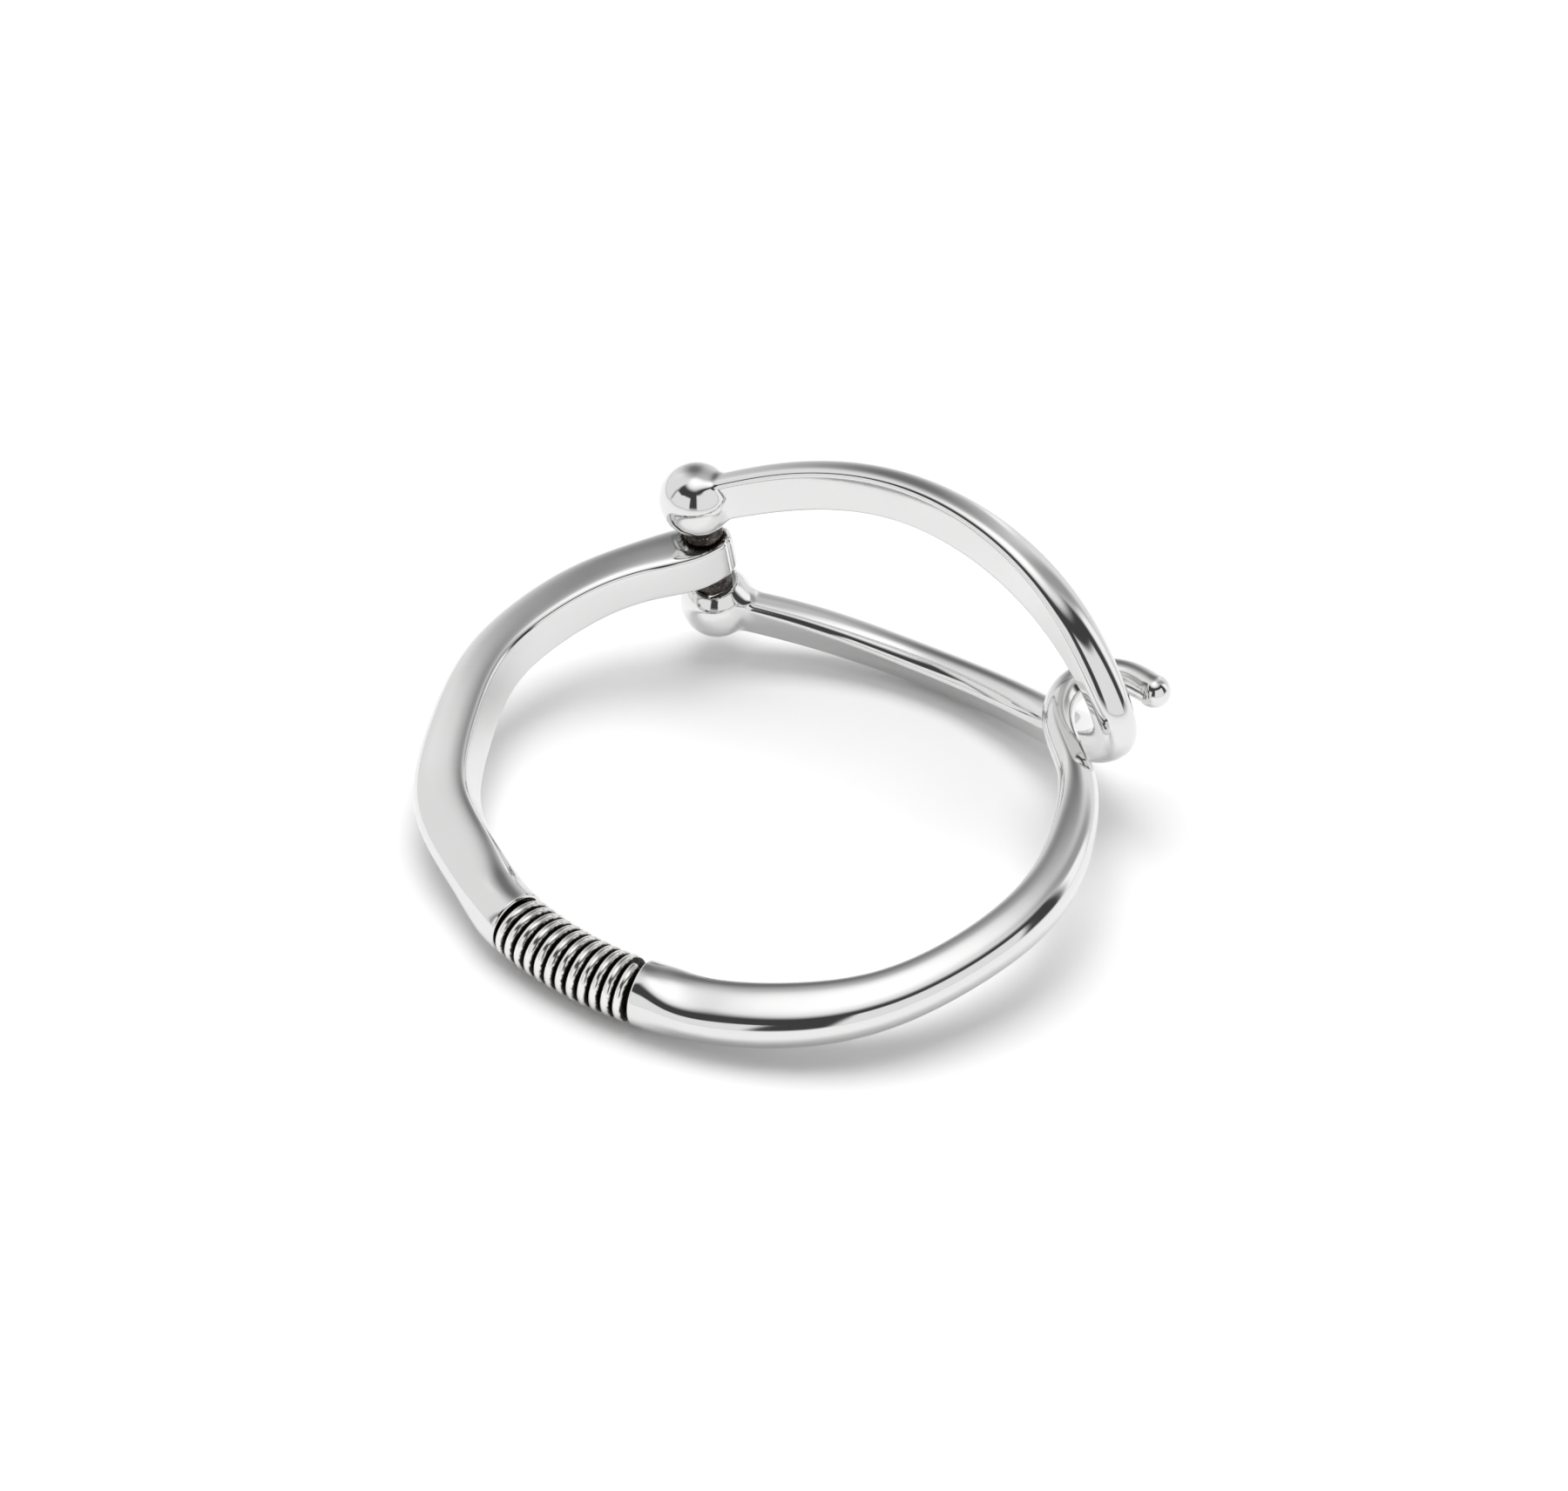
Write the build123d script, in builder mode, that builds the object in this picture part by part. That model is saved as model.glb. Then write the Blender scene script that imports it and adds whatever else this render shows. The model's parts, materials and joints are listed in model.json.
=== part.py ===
"""Hinged hook bangle in sterling silver.

Two forged hoop halves are joined by a hidden core rod under a wound wire.  A stirrup-shaped
loop swings on a pin through the tongue of one half, and the hook on the other half passes
through the loop's eye to close the bangle.

The bangle is drawn in the hoop's own plane (x = widest way, y = from the wire wrap towards
the loop) and is then laid on its side as it rests on a table: the tall loop and the front
of the hoop touch the table, so the hoop's plane leans by REST_LEAN degrees.
"""

import os
from math import asin, cos, radians, sin, tan, tau

from build123d import *

# ---- overall sizes (millimetres) -----------------------------------------------------
HALF_WIDTH = 31.3  # hoop centreline, half the widest size
HALF_DEPTH = 27.6  # hoop centreline, from its centre to the wire wrap
REST_LEAN = 12.5  # degrees, lean of the hoop's plane on the table

# ---- bar of the two hoop halves: flat towards the wrist, domed outside -------------------
BAR_HEIGHT = 4.9
BAR_THICKNESS = 4.7
BAR_CORNER = 0.7
FRONT_THICKNESS = 5.5  # the bar swells next to the wrap
TONGUE_THICKNESS = 5.35  # and again towards the hinge
END_DIAMETER = 6.2  # round ends that butt against the wrap
END_CORNER_SHARE = 0.47  # corner radius of a round section, as a share of its diameter

# ---- wire wrap and its core ------------------------------------------------------------
WRAP_TURNS = 12
WRAP_PITCH = 1.22
WIRE_DIAMETER = 1.1
WRAP_BEND_RADIUS = 40.0
WRAP_LEAN = -3.0  # degrees, the wrap's middle turns a little against the x axis
WRAP_X = -2.3  # middle of the wrap
WRAP_END_GAP = 0.06
CORE_DEPTH = 3.5  # length of the core rod inside each half
CORE_CLEARANCE = 0.04  # between the core rod and the wire wound on it

# ---- hinge -------------------------------------------------------------------------------
HINGE_X = -0.663 * HALF_WIDTH
HINGE_Y = 0.720 * HALF_DEPTH
BALL_DIAMETER = 7.1
PIN_DIAMETER = 1.6
PIN_CLEARANCE = 0.04
PIN_DEPTH = 2.2  # how far the pin goes into each ball
COLLAR_DIAMETER = 5.0
COLLAR_HEIGHT = 2.45
COLLAR_CLEARANCE = 0.05
SEAT_HEIGHT = 4.6  # the tongue between its two spot faces
SEAT_MARGIN = 0.4  # spot face, wider than the collar
NOSE_LENGTH = 2.6  # tongue beyond the pin's axis

# ---- loop --------------------------------------------------------------------------------
LOOP_HALF_HEIGHT = 12.3  # centreline of the arms at their widest, above the hoop's plane
ARM_THICKNESS = 3.4
ARM_HEIGHT = 4.7
ARM_CORNER = 0.6
ARM_ROLL = 14.0  # degrees, flats of the two arms turn away from each other
EYE_THICKNESS = 3.6
EYE_HEIGHT = 4.0
LOOP_RISE = 6.5  # bow of the loop, from hinge to eye end, away from the wrist
EYE_END_X = 0.837 * HALF_WIDTH
EYE_END_Y = 0.705 * HALF_DEPTH

# ---- hook --------------------------------------------------------------------------------
HOOK_DIAMETER = 3.1
HOOK_TIP_DIAMETER = 3.35
HOOK_PLAY = 2.55  # free way between the hook and the loop's eye end

# ---- sizes derived from the ones above ------------------------------------------------------
HOOK_THROAT = (EYE_THICKNESS + HOOK_DIAMETER) / 2 + HOOK_PLAY  # eye end's centre to hook's centreline
WRAP_LENGTH = WRAP_TURNS * WRAP_PITCH
WRAP_RADIUS = (END_DIAMETER - WIRE_DIAMETER) / 2
CORE_DIAMETER = 2 * WRAP_RADIUS - WIRE_DIAMETER - 2 * CORE_CLEARANCE
BALL_FLAT = ((BALL_DIAMETER / 2) ** 2 - (COLLAR_DIAMETER / 2) ** 2) ** 0.5
BALL_Z = SEAT_HEIGHT / 2 + COLLAR_CLEARANCE + COLLAR_HEIGHT + BALL_FLAT


def wrap_frame(along):
    """Point and direction on the wrap's bent axis; along = 0 in its middle."""
    lean = radians(WRAP_LEAN)
    angle = lean + along / WRAP_BEND_RADIUS
    x = WRAP_X + WRAP_BEND_RADIUS * (sin(angle) - sin(lean))
    y = -HALF_DEPTH + WRAP_BEND_RADIUS * (cos(lean) - cos(angle))
    return Vector(x, y, 0), Vector(cos(angle), sin(angle), 0)


def hoop_point(x_share, y_share):
    """A point of the hoop's centreline, as shares of its half width and half depth."""
    return Vector(x_share * HALF_WIDTH, y_share * HALF_DEPTH, 0)


def hook_point(angle, radius_share):
    """A point of the hook's centreline, round the place where the loop's eye end sits."""
    radius = radius_share * HOOK_THROAT
    x = EYE_END_X + radius * cos(radians(angle))
    y = EYE_END_Y + radius * sin(radians(angle))
    return Vector(x, y, 0)


def section_plane(point, along, outward):
    """Plane across a bar: its x points away from the wrist."""
    level = outward - along * outward.dot(along)
    return Plane(origin=point, x_dir=level, z_dir=along)


def bar_section(plane, thickness, height, corner):
    """Flat-backed oval: the flat faces the wrist and the dome faces outwards."""
    back = -thickness / 2
    flat = height / 2 - corner
    dome_centre = (back + corner, 0)
    dome_depth = thickness - corner
    with BuildSketch(plane) as section:
        with BuildLine():
            Line((back, -flat), (back, flat))
            CenterArc((back + corner, flat), corner, 180, -90)
            EllipticalCenterArc(dome_centre, dome_depth, height / 2, start_angle=-90, arc_size=180)
            CenterArc((back + corner, -flat), corner, 270, -90)
        make_face()
    return section.sketch


def bar_sections(path, profile, outward):
    """Bar sections to loft; profile = (share of the path, thickness, height, corner)."""
    sections = []
    for share, thickness, height, corner in profile:
        along = path % share
        plane = section_plane(path @ share, along, outward(path @ share, along))
        sections.append(bar_section(plane, thickness, height, corner))
    return sections


def away_from_wrist(point, along):
    """Outward direction of a flat bar whose path runs anticlockwise round the wrist."""
    return Vector(along.Y, -along.X, 0)


def away_clockwise(point, along):
    """Outward direction of a flat bar whose path runs clockwise round the wrist."""
    return Vector(-along.Y, along.X, 0)


left_end, left_direction = wrap_frame(-WRAP_LENGTH / 2 - WRAP_END_GAP)
right_end, right_direction = wrap_frame(WRAP_LENGTH / 2 + WRAP_END_GAP)
round_corner = END_CORNER_SHARE * END_DIAMETER
hinge = Vector(HINGE_X, HINGE_Y, 0)

# ---- core rod: bent with the wrap, its ends sit in blind sockets of the two halves -------
core_reach = WRAP_LENGTH / 2 + WRAP_END_GAP + CORE_DEPTH
core_start, core_direction = wrap_frame(-core_reach)
core_middle, _ = wrap_frame(0)
core_end, _ = wrap_frame(core_reach)
with BuildPart() as core_rod:
    with BuildLine() as core_path:
        ThreePointArc(core_start, core_middle, core_end)
    with BuildSketch(Plane(origin=core_start, z_dir=core_direction)):
        Circle(CORE_DIAMETER / 2)
    sweep()

# ---- tongue half: from the wrap round the left side to the tongue of the hinge -----------
nose_direction = Vector(0.66, 0.75, 0)
with BuildLine():
    tongue_path = Spline(
        left_end,
        hoop_point(-0.530, -0.858),
        hoop_point(-0.780, -0.678),
        hoop_point(-0.930, -0.375),
        hoop_point(-1.000, -0.050),
        hoop_point(-0.972, 0.170),
        hoop_point(-0.872, 0.430),
        hinge,
        hinge + nose_direction * NOSE_LENGTH,
        tangents=(-left_direction, nose_direction),
    )
nose_share = NOSE_LENGTH / tongue_path.length
hinge_share = 1 - nose_share
tongue_profile = [
    (0.0, END_DIAMETER, END_DIAMETER, round_corner),
    (0.015, END_DIAMETER, END_DIAMETER, round_corner),
    (0.07, FRONT_THICKNESS, 1.04 * BAR_HEIGHT, 2.0 * BAR_CORNER),
    (0.16, FRONT_THICKNESS, BAR_HEIGHT, BAR_CORNER),
    (0.27, FRONT_THICKNESS, BAR_HEIGHT, BAR_CORNER),
    (0.38, BAR_THICKNESS, BAR_HEIGHT, BAR_CORNER),
    (0.50, BAR_THICKNESS, BAR_HEIGHT, BAR_CORNER),
    (0.62, BAR_THICKNESS, BAR_HEIGHT, BAR_CORNER),
    (0.74, TONGUE_THICKNESS, BAR_HEIGHT, BAR_CORNER),
    (0.86, TONGUE_THICKNESS, BAR_HEIGHT, BAR_CORNER),
    (hinge_share, TONGUE_THICKNESS, BAR_HEIGHT, BAR_CORNER),
    (hinge_share + 0.55 * nose_share, 0.93 * TONGUE_THICKNESS, BAR_HEIGHT, BAR_CORNER),
    (hinge_share + 0.88 * nose_share, 0.76 * TONGUE_THICKNESS, 0.96 * BAR_HEIGHT, BAR_CORNER),
    (1.0, 0.58 * TONGUE_THICKNESS, 0.90 * BAR_HEIGHT, BAR_CORNER),
]
with BuildPart() as tongue_half:
    loft(sections=bar_sections(tongue_path, tongue_profile, away_clockwise))
    for side in (1, -1):
        with BuildSketch(Plane(origin=(HINGE_X, HINGE_Y, side * SEAT_HEIGHT / 2), z_dir=(0, 0, side))):
            Circle(COLLAR_DIAMETER / 2 + SEAT_MARGIN)
        extrude(amount=BAR_HEIGHT, mode=Mode.SUBTRACT)
    with BuildSketch(Plane(origin=(HINGE_X, HINGE_Y, -BAR_HEIGHT))):
        Circle(PIN_DIAMETER / 2 + PIN_CLEARANCE)
    extrude(amount=2 * BAR_HEIGHT, mode=Mode.SUBTRACT)
    add(core_rod.part, mode=Mode.SUBTRACT)

# ---- hook half: from the wrap round the right side to the hook ----------------------------
with BuildLine():
    hook_path = Spline(
        right_end,
        hoop_point(0.330, -0.965),
        hoop_point(0.582, -0.850),
        hoop_point(0.796, -0.661),
        hoop_point(0.948, -0.366),
        hoop_point(1.000, -0.018),
        hoop_point(0.958, 0.207),
        hook_point(262, 1.00),
        hook_point(226, 0.84),
        hook_point(183, 1.00),
        hook_point(160, 1.12),
        hook_point(137, 1.14),
        hook_point(112, 1.06),
        hook_point(81, 0.95),
        tangents=(right_direction, Vector(0.98, -0.2, 0)),
    )
hook_round = END_CORNER_SHARE * HOOK_DIAMETER
hook_profile = [
    (0.0, END_DIAMETER, END_DIAMETER, round_corner),
    (0.012, END_DIAMETER, END_DIAMETER, round_corner),
    (0.06, 1.04 * FRONT_THICKNESS, 1.04 * BAR_HEIGHT, 2.0 * BAR_CORNER),
    (0.13, 1.04 * FRONT_THICKNESS, BAR_HEIGHT, BAR_CORNER),
    (0.22, FRONT_THICKNESS, BAR_HEIGHT, BAR_CORNER),
    (0.31, 1.05 * BAR_THICKNESS, BAR_HEIGHT, BAR_CORNER),
    (0.40, 1.03 * BAR_THICKNESS, BAR_HEIGHT, BAR_CORNER),
    (0.49, 0.98 * BAR_THICKNESS, BAR_HEIGHT, BAR_CORNER),
    (0.57, 0.92 * BAR_THICKNESS, 0.98 * BAR_HEIGHT, BAR_CORNER),
    (0.65, 0.87 * BAR_THICKNESS, 0.90 * BAR_HEIGHT, 1.3 * BAR_CORNER),
    (0.72, 0.75 * BAR_THICKNESS, 0.78 * BAR_HEIGHT, 1.6 * BAR_CORNER),
    (0.78, HOOK_DIAMETER, HOOK_DIAMETER, hook_round),
    (0.83, HOOK_DIAMETER, HOOK_DIAMETER, hook_round),
    (0.87, HOOK_DIAMETER, HOOK_DIAMETER, hook_round),
    (0.91, HOOK_DIAMETER, HOOK_DIAMETER, hook_round),
    (0.955, HOOK_DIAMETER, HOOK_DIAMETER, hook_round),
    (1.0, HOOK_DIAMETER, HOOK_DIAMETER, hook_round),
]
with BuildPart() as hook_half:
    loft(sections=bar_sections(hook_path, hook_profile, away_from_wrist))
    with Locations(hook_path @ 1):
        Sphere(HOOK_TIP_DIAMETER / 2)
    add(core_rod.part, mode=Mode.SUBTRACT)

# ---- wire wrap: one wire wound on the core rod ---------------------------------------------
POINTS_PER_TURN = 12
wire_run = WRAP_LENGTH - WIRE_DIAMETER
wire_points = (WRAP_TURNS - 1) * POINTS_PER_TURN + 1


def wire_point(turn):
    """A point of the wire's centreline after a number of turns."""
    centre, along = wrap_frame(-wire_run / 2 + wire_run * turn / (WRAP_TURNS - 1))
    outward = Vector(along.Y, -along.X, 0)
    upward = Vector(0, 0, 1)
    return centre + (outward * cos(tau * turn) + upward * sin(tau * turn)) * WRAP_RADIUS


with BuildPart() as wire_wrap:
    with BuildLine():
        wire_path = Spline([wire_point(n / POINTS_PER_TURN) for n in range(wire_points)])
    with BuildSketch(Plane(origin=wire_path @ 0, z_dir=wire_path % 0)):
        Circle(WIRE_DIAMETER / 2)
    sweep(is_frenet=True)

# ---- loop: two bowed arms that meet in the eye end, with a ball knuckle on each arm ---------
half_chord = (EYE_END_X - HINGE_X) / 2
bow_radius = (half_chord**2 + LOOP_RISE**2) / (2 * LOOP_RISE)
bow_angle = asin(half_chord / bow_radius)
bow_middle_x = (HINGE_X + EYE_END_X) / 2
bow_middle_y = (HINGE_Y + EYE_END_Y) / 2 + LOOP_RISE
bow_centre = Vector(bow_middle_x, bow_middle_y - bow_radius, 0)


def loop_point(share, height_share):
    """A point of an arm: share of the way from hinge to eye end, share of the half height."""
    angle = bow_angle * (2 * share - 1)
    bow = Vector(sin(angle), cos(angle), 0) * bow_radius
    return bow_centre + bow + Vector(0, 0, height_share * LOOP_HALF_HEIGHT)


upper_arm = [
    hinge + Vector(0, 0, BALL_Z),
    loop_point(0.19, 0.820),
    loop_point(0.43, 0.995),
    loop_point(0.60, 0.965),
    loop_point(0.78, 0.795),
    loop_point(0.92, 0.470),
]
lower_arm = [Vector(p.X, p.Y, -p.Z) for p in reversed(upper_arm)]


def away_from_bow(point, along):
    """Outward direction of the loop: from the centre of its bow."""
    level = Vector(point.X - bow_centre.X, point.Y - bow_centre.Y, 0).normalized()
    return level - Vector(0, 0, tan(radians(ARM_ROLL)) * point.Z / LOOP_HALF_HEIGHT)


with BuildLine():
    loop_path = Spline(upper_arm + [loop_point(1.0, 0.0)] + lower_arm)
loop_half_profile = [
    (0.0, 0.95 * ARM_THICKNESS, 0.95 * ARM_HEIGHT, ARM_CORNER),
    (0.07, ARM_THICKNESS, ARM_HEIGHT, ARM_CORNER),
    (0.14, ARM_THICKNESS, ARM_HEIGHT, ARM_CORNER),
    (0.21, ARM_THICKNESS, ARM_HEIGHT, ARM_CORNER),
    (0.28, ARM_THICKNESS, ARM_HEIGHT, ARM_CORNER),
    (0.35, ARM_THICKNESS, ARM_HEIGHT, ARM_CORNER),
    (0.41, ARM_THICKNESS, 0.5 * (ARM_HEIGHT + EYE_HEIGHT), ARM_CORNER),
    (0.46, EYE_THICKNESS, EYE_HEIGHT, ARM_CORNER),
]
loop_profile = (
    loop_half_profile
    + [(0.5, EYE_THICKNESS, EYE_HEIGHT, ARM_CORNER)]
    + [(1 - share, *sizes) for share, *sizes in reversed(loop_half_profile)]
)
with BuildPart() as loop:
    loft(sections=bar_sections(loop_path, loop_profile, away_from_bow))
    for side in (1, -1):
        with Locations((HINGE_X, HINGE_Y, side * BALL_Z)):
            Sphere(BALL_DIAMETER / 2)
    with BuildSketch(Plane(origin=(HINGE_X, HINGE_Y, -(BALL_Z - BALL_FLAT)))):
        Circle(BALL_DIAMETER)
    extrude(amount=2 * (BALL_Z - BALL_FLAT), mode=Mode.SUBTRACT)
    with BuildSketch(Plane(origin=(HINGE_X, HINGE_Y, -(BALL_Z - BALL_FLAT) - PIN_DEPTH))):
        Circle(PIN_DIAMETER / 2)
    extrude(amount=2 * (BALL_Z - BALL_FLAT + PIN_DEPTH), mode=Mode.SUBTRACT)

# ---- hinge pin and the two blackened collars between the balls and the tongue ---------------
with BuildPart() as hinge_pin:
    with BuildSketch(Plane(origin=(HINGE_X, HINGE_Y, -(BALL_Z - BALL_FLAT) - PIN_DEPTH))):
        Circle(PIN_DIAMETER / 2)
    extrude(amount=2 * (BALL_Z - BALL_FLAT + PIN_DEPTH))

collars = {}
for collar_name, side in (("upper_collar", 1), ("lower_collar", -1)):
    seat = Plane(origin=(HINGE_X, HINGE_Y, side * (BALL_Z - BALL_FLAT)), z_dir=(0, 0, -side))
    with BuildPart() as collar:
        with BuildSketch(seat):
            Circle(COLLAR_DIAMETER / 2)
            Circle(PIN_DIAMETER / 2, mode=Mode.SUBTRACT)
        extrude(amount=COLLAR_HEIGHT)
    collars[collar_name] = collar

# ---- laying the bangle down, and writing one file for each piece ----------------------------
leaning = Location((0, 0, 0), (REST_LEAN, 0, 0))
pieces = {
    "tongue_half": tongue_half,
    "hook_half": hook_half,
    "core_rod": core_rod,
    "wire_wrap": wire_wrap,
    "loop": loop,
    "hinge_pin": hinge_pin,
    "upper_collar": collars["upper_collar"],
    "lower_collar": collars["lower_collar"],
}
for piece in pieces.values():
    piece.part.locate(leaning)
box = Compound([piece.part for piece in pieces.values()]).bounding_box()
down = Location((-box.center().X, -box.center().Y, -box.min.Z))

os.makedirs("parts", exist_ok=True)
for name, piece in pieces.items():
    piece.part.locate(down * leaning)
    piece.part.label = name
    export_step(piece.part, f"parts/{name}.step")
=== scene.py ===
"""Polished looks of a hinged hook bangle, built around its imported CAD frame.

Every piece is drawn in the hoop's own plane, in millimetres (x = from hinge to hook, y = from the
wire wrap to the loop, z = along the hinge pin), and is then laid into the frame in metres.
"""

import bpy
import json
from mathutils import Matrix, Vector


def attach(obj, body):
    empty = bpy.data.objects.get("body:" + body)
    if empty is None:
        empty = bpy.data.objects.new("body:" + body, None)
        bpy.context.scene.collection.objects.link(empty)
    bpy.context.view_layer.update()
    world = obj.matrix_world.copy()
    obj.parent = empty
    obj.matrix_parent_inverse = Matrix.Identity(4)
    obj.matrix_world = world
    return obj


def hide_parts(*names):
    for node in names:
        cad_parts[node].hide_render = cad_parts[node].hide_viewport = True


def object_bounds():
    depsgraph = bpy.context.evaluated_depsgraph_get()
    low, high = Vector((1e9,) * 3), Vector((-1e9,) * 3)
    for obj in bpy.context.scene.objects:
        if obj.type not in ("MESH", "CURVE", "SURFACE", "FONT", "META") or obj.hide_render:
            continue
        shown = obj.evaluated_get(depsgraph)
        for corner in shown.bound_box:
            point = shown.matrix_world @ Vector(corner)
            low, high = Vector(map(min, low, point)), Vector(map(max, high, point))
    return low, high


bl_info = {
    "name": "Hinged hook bangle",
    "version": (1, 0, 0),
    "blender": (4, 5, 0),
    "location": "3D View > Sidebar > Bangle",
    "description": "Builds a polished hook bangle with a wire-wrapped front, and a soft studio for it",
    "category": "Add Mesh",
}

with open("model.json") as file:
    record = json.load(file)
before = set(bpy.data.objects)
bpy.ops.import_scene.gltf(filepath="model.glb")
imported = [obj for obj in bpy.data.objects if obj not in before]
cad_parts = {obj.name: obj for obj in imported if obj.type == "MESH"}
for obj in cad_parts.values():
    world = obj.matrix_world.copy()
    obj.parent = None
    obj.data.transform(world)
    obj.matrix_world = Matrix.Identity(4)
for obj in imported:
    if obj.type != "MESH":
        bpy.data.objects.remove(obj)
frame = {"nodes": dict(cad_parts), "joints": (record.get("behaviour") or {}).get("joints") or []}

import json
from math import asin, cos, exp, pi, radians, sin, sqrt, tan, tau

import bmesh
import bpy
import numpy as np
from bpy.props import FloatProperty, FloatVectorProperty, PointerProperty
from mathutils import Matrix, Vector, noise

CAD_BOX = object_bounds()
MM = 0.001

# ---- the hoop's plane in the frame -----------------------------------------------------
SWING = frame["joints"][0]
HINGE_POINT = Vector(SWING["pos_m"])
HINGE_AXIS = Vector(SWING["axis"]).normalized()

HALF_WIDTH = 31.3  # hoop centreline
HALF_DEPTH = 27.6
HINGE = Vector((-0.663 * HALF_WIDTH, 0.720 * HALF_DEPTH, 0))


def lay_down():
    """Matrix from the hoop's plane in millimetres to the frame in metres."""
    across = Vector((1, 0, 0))
    turned = Matrix((across, HINGE_AXIS.cross(across), HINGE_AXIS)).transposed().to_4x4()
    return Matrix.Translation(HINGE_POINT) @ turned @ Matrix.Scale(MM, 4) @ Matrix.Translation(-HINGE)


LAY_DOWN = lay_down()

# ---- bars ------------------------------------------------------------------------------
BAR_HEIGHT = 4.9
BAR_CORNER = 0.7
TONGUE_THICKNESS = 5.35
END_DIAMETER = 6.2  # round ends that butt against the wrap
END_ROUNDING = 0.30
ROUND_SHARE = 0.47  # corner radius of a round section, as a share of its diameter
SQUARED = 2.7  # power of a worn, squared section; 2 is an ellipse

# ---- wire wrap -------------------------------------------------------------------------
WRAP_TURNS = 12
WRAP_PITCH = 1.22
WRAP_BEND = 40.0
WRAP_LEAN = radians(-3.0)
WRAP_X = -2.3
WRAP_LENGTH = WRAP_TURNS * WRAP_PITCH
WRAP_END_GAP = 0.06
WIRE_DIAMETER = 1.1
WRAP_RADIUS = (END_DIAMETER - WIRE_DIAMETER) / 2
COIL_TURNS = 11.6
COIL_FIRST_TURN = -0.30
COIL_PITCH = 1.19
COIL_START = 0.05
COIL_END_GAP = 0.02
COIL_EASING = 0.25  # length over which the wire's ends level out

# ---- hinge -----------------------------------------------------------------------------
BALL_RADIUS = 3.65
BALL_Z = 7.32
PIN_RADIUS = 0.8
COLLAR_RADIUS = 2.0
COLLAR_HEIGHT = 2.15
SPOT_FACE_RADIUS = 2.9
SEAT_HALF = 2.3
SEAT_GAP = 0.05
RIM_Z = SEAT_HALF + SEAT_GAP + COLLAR_HEIGHT
RIM_BEVEL = 0.16
NECK_SHARE = 0.77  # distance from a ball's centre where its neck starts, as a share of its radius
NECK_FILLET = 0.9
CUT_RADIUS = 5.2  # faces this near a ball's centre are cut at its rim
NOSE_LENGTH = 2.6
NOSE_ROUNDING = 0.75
# painted shadow and reflection: the tongue's seats are darkened round the collars in place of the ball's
# contact shadow and its dark reflection
HINGE_SHADE_RADIUS = 3.3
HINGE_SHADE_FADE = 1.6
HINGE_SHADE_DEPTH = 0.12
HINGE_SHADE_STRENGTH = 0.26

# ---- loop and hook ---------------------------------------------------------------------
LOOP_HALF_HEIGHT = 12.3
ARM_THICKNESS = 3.4
ARM_HEIGHT = 4.7
ARM_ROLL = 14.0
EYE_THICKNESS = 3.6
EYE_HEIGHT = 4.0
LOOP_RISE = 6.5
EYE_END = Vector((0.837 * HALF_WIDTH, 0.705 * HALF_DEPTH, 0))
HOOK_DIAMETER = 3.1
HOOK_TIP_RADIUS = 1.6
HOOK_THROAT = 5.9

# ---- fineness of the meshes ------------------------------------------------------------
FLAT_STEPS = 6
CORNER_STEPS = 15
DOME_STEPS = 36
END_STEPS = 8
TIP_STEPS = 16
TONGUE_HALF_STEPS = 300
HOOK_HALF_STEPS = 380
WIRE_POINTS = 20
STEPS_PER_TURN = 72
BALL_STEPS = 14
NECK_STEPS = 56
ARM_STEPS = 360
COLLAR_STEPS = 96

# ---- camera, floor and lamp ------------------------------------------------------------
CAMERA_AZIMUTH = 35.0  # degrees
CAMERA_ELEVATION = 39.5
CAMERA_DISTANCE = 420.97
CAMERA_RIGHT = -1.627
CAMERA_UP = -1.952
SENSOR_WIDTH = 36
FOCAL_LENGTH = 103.5
FLOOR_HALF = 4.0  # metres, as the next four are
FLOOR_DROP = 0.00002
LAMP_DIAMETER = 0.50
LAMP_PLACE = (-0.05, 0.08, 0.60)
CLIPPING = (0.01, 20)
LAMP_POWER = 2.5  # watts


class Smooth:
    """A smooth curve through values at rising knots, evaluated anywhere between them."""

    def __init__(self, knots, values, start=None, end=None):
        self.knots = np.array(knots, float)
        self.values = np.array(values, float)
        count = len(knots)
        gaps = np.diff(self.knots)
        system = np.zeros((count, count))
        wanted = np.zeros_like(self.values)
        steps = np.diff(self.values, axis=0) / gaps[:, None]
        for i in range(1, count - 1):
            before, after = gaps[i - 1], gaps[i]
            system[i, i - 1 : i + 2] = after, 2 * (before + after), before
            wanted[i] = 3 * (after * steps[i - 1] + before * steps[i])
        for i, step, tangent in ((0, 0, start), (count - 1, -1, end)):
            if tangent is None:
                system[i, i] = 2
                system[i, i + (1 if i == 0 else -1)] = 1
                wanted[i] = 3 * steps[step]
            else:
                system[i, i] = 1
                wanted[i] = tangent
        self.slopes = np.linalg.solve(system, wanted)

    def _span(self, at):
        i = int(np.clip(np.searchsorted(self.knots, at) - 1, 0, len(self.knots) - 2))
        gap = self.knots[i + 1] - self.knots[i]
        return i, gap, (at - self.knots[i]) / gap

    def __call__(self, at):
        i, gap, u = self._span(at)
        near = (1 + 2 * u) * (1 - u) ** 2 * self.values[i] + u * u * (3 - 2 * u) * self.values[i + 1]
        return near + gap * (u * (1 - u) ** 2 * self.slopes[i] + u * u * (u - 1) * self.slopes[i + 1])

    def slope(self, at):
        i, gap, u = self._span(at)
        rise = 6 * u * (1 - u) / gap * (self.values[i + 1] - self.values[i])
        return rise + (3 * u * u - 4 * u + 1) * self.slopes[i] + (3 * u * u - 2 * u) * self.slopes[i + 1]


class Path:
    """A smooth path through points, followed by share of its length."""

    def __init__(self, points, start=None, end=None):
        legs = [(b - a).length for a, b in zip(points, points[1:])]
        self.length = sum(legs)
        knots = np.concatenate([[0], np.cumsum(legs)])
        self.curve = Smooth(knots, points, start, end)

    def point(self, share):
        return Vector(self.curve(share * self.length))

    def along(self, share):
        return Vector(self.curve.slope(share * self.length)).normalized()


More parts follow.
